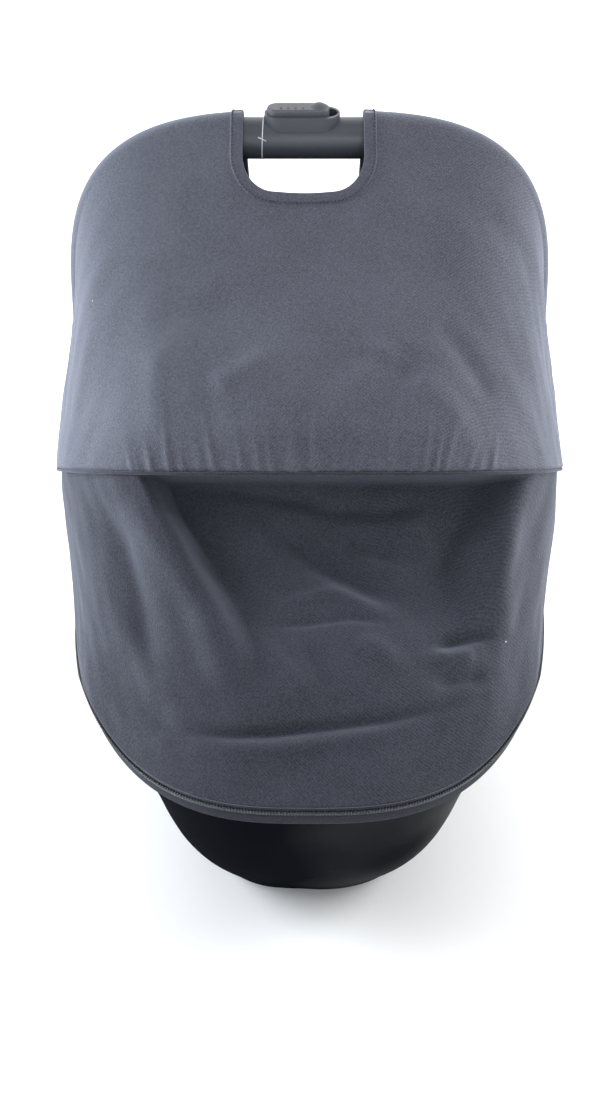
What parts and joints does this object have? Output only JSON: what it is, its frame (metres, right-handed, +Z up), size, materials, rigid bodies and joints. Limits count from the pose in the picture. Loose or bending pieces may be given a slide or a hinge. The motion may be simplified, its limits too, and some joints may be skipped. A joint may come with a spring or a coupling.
{
  "type": "infant car seat",
  "caption": "Lie-flat infant car seat: glossy shell, zipped fabric apron and closed hood over a swinging carry handle with a slide release, harness and mattress inside.",
  "frame": {"origin": "on the floor, under the middle of the whole seat", "axes": "+Y towards the head end, along the length; +X across the width; +Z up"},
  "size_m": [0.4368, 0.7573, 0.6023],
  "materials": {
    "shell": "high gloss black",
    "cover_fabric": "dark blue-grey twill weave",
    "edge_binding": "woven binding tape",
    "zip": "coil zip",
    "handle_plastic": "fine matte grey",
    "button_plastic": "light grey",
    "dark_plastic": "fine matte",
    "foam": "expanded foam, matt, beaded",
    "lining": "soft jersey",
    "webbing": "woven webbing",
    "red_plastic": "gloss",
    "steel": "zinc plated",
    "rubber": "matte"
  },
  "bodies": {
    "seat": {"outer_shell": "shell", "lever_lugs": "shell", "belt_guide_left": "shell", "belt_guide_right": "shell", "dock_brackets": "shell", "canopy_rear": "cover_fabric", "apron": "cover_fabric", "cover_edge": "edge_binding", "zip_chain": "zip", "hub_gear_left": "dark_plastic", "hub_gear_right": "dark_plastic", "latch_carriers": "dark_plastic", "buckle_housing": "dark_plastic", "adjuster_housing": "dark_plastic", "foam_liner": "foam", "mattress": "lining", "head_pillow": "lining", "crotch_pad": "lining", "shoulder_pad_left": "lining", "shoulder_pad_right": "lining", "shoulder_strap_left": "webbing", "shoulder_strap_right": "webbing", "lap_strap_left": "webbing", "lap_strap_right": "webbing", "crotch_strap": "webbing", "adjuster_strap": "webbing", "hub_bracket_left": "steel", "hub_bracket_right": "steel", "bracket_rivets": "steel", "hub_pin_left": "steel", "hub_pin_right": "steel", "base_plate": "steel", "dock_bar_foot": "steel", "dock_bar_head": "steel", "lever_pin": "steel", "buckle_spring": "steel", "adjuster_spring": "steel", "buckle_tongue_left": "steel", "buckle_tongue_right": "steel", "zip_slider": "steel", "rubber_feet": "rubber"},
    "handle": {"handle_tube": "handle_plastic", "hub_cap_left": "handle_plastic", "hub_cap_right": "handle_plastic", "slider_bezel": "handle_plastic", "slider_spring": "steel", "lock_spring_left": "steel", "lock_spring_right": "steel", "release_cable": "steel"},
    "slider": {"slider_button": "button_plastic"},
    "bolt_left": {"lock_bolt_left": "steel"},
    "bolt_right": {"lock_bolt_right": "steel"},
    "front_hoop": {"front_bow": "dark_plastic", "canopy_front": "cover_fabric"},
    "rear_hoop": {"rear_bow": "dark_plastic"},
    "harness_button": {"buckle_button": "red_plastic"},
    "adjuster_key": {"adjuster_button": "red_plastic"},
    "lever": {"release_lever": "shell"},
    "latch_left": {"base_latch_left": "steel"},
    "latch_right": {"base_latch_right": "steel"}
  },
  "joints": [
    {"name": "handle_swing", "type": "hinge", "parent": "seat", "child": "handle", "pos_m": [0, -0.01, 0.306], "axis": [-1, 0, 0], "range_deg": [0, 60], "deforming": ["canopy_rear", "canopy_front"]},
    {"name": "slider_slide", "type": "slide", "parent": "handle", "child": "slider", "axis": [1, 0, 0], "range_m": [0, 0.0065], "stiffness_N_per_m": 400, "springref_m": -0.002, "deforming": ["slider_spring"]},
    {"name": "bolt_left_slide", "type": "slide", "parent": "handle", "child": "bolt_left", "axis": [0, 0, 1], "range_m": [0, 0.0065], "deforming": ["lock_spring_left"]},
    {"name": "bolt_right_slide", "type": "slide", "parent": "handle", "child": "bolt_right", "axis": [0, 0, 1], "range_m": [0, 0.0065], "deforming": ["lock_spring_right"]},
    {"name": "hood_fold", "type": "hinge", "parent": "handle", "child": "front_hoop", "pos_m": [0, -0.01, 0.306], "axis": [-1, 0, 0], "range_deg": [0, 45], "deforming": ["canopy_front"]},
    {"name": "rear_hoop_swing", "type": "hinge", "parent": "seat", "child": "rear_hoop", "pos_m": [0, -0.01, 0.306], "axis": [-1, 0, 0], "range_deg": [0, 30]},
    {"name": "buckle_press", "type": "slide", "parent": "seat", "child": "harness_button", "axis": [0, 0, -1], "range_m": [0, 0.004], "stiffness_N_per_m": 600, "springref_m": -0.002, "deforming": ["buckle_spring"]},
    {"name": "adjuster_press", "type": "slide", "parent": "seat", "child": "adjuster_key", "axis": [0, 0, -1], "range_m": [0, 0.003], "stiffness_N_per_m": 600, "springref_m": -0.002, "deforming": ["adjuster_spring"]},
    {"name": "release_squeeze", "type": "hinge", "parent": "seat", "child": "lever", "pos_m": [0, 0.37, 0.152], "axis": [1, 0, 0], "range_deg": [0, 20], "stiffness_Nm_per_rad": 2, "springref_deg": -2.86},
    {"name": "latch_left_slide", "type": "slide", "parent": "seat", "child": "latch_left", "axis": [1, 0, 0], "range_m": [0, 0.0085]},
    {"name": "latch_right_slide", "type": "slide", "parent": "seat", "child": "latch_right", "axis": [-1, 0, 0], "range_m": [0, 0.0085]}
  ],
  "couplings": [
    {"joint": "bolt_left_slide", "follows": "slider_slide", "ratio": 1},
    {"joint": "bolt_right_slide", "follows": "slider_slide", "ratio": 1},
    {"joint": "rear_hoop_swing", "follows": "handle_swing", "ratio": 0.5},
    {"joint": "latch_left_slide", "follows": "release_squeeze", "m_per_rad": 0.0229},
    {"joint": "latch_right_slide", "follows": "release_squeeze", "m_per_rad": 0.0229}
  ]
}
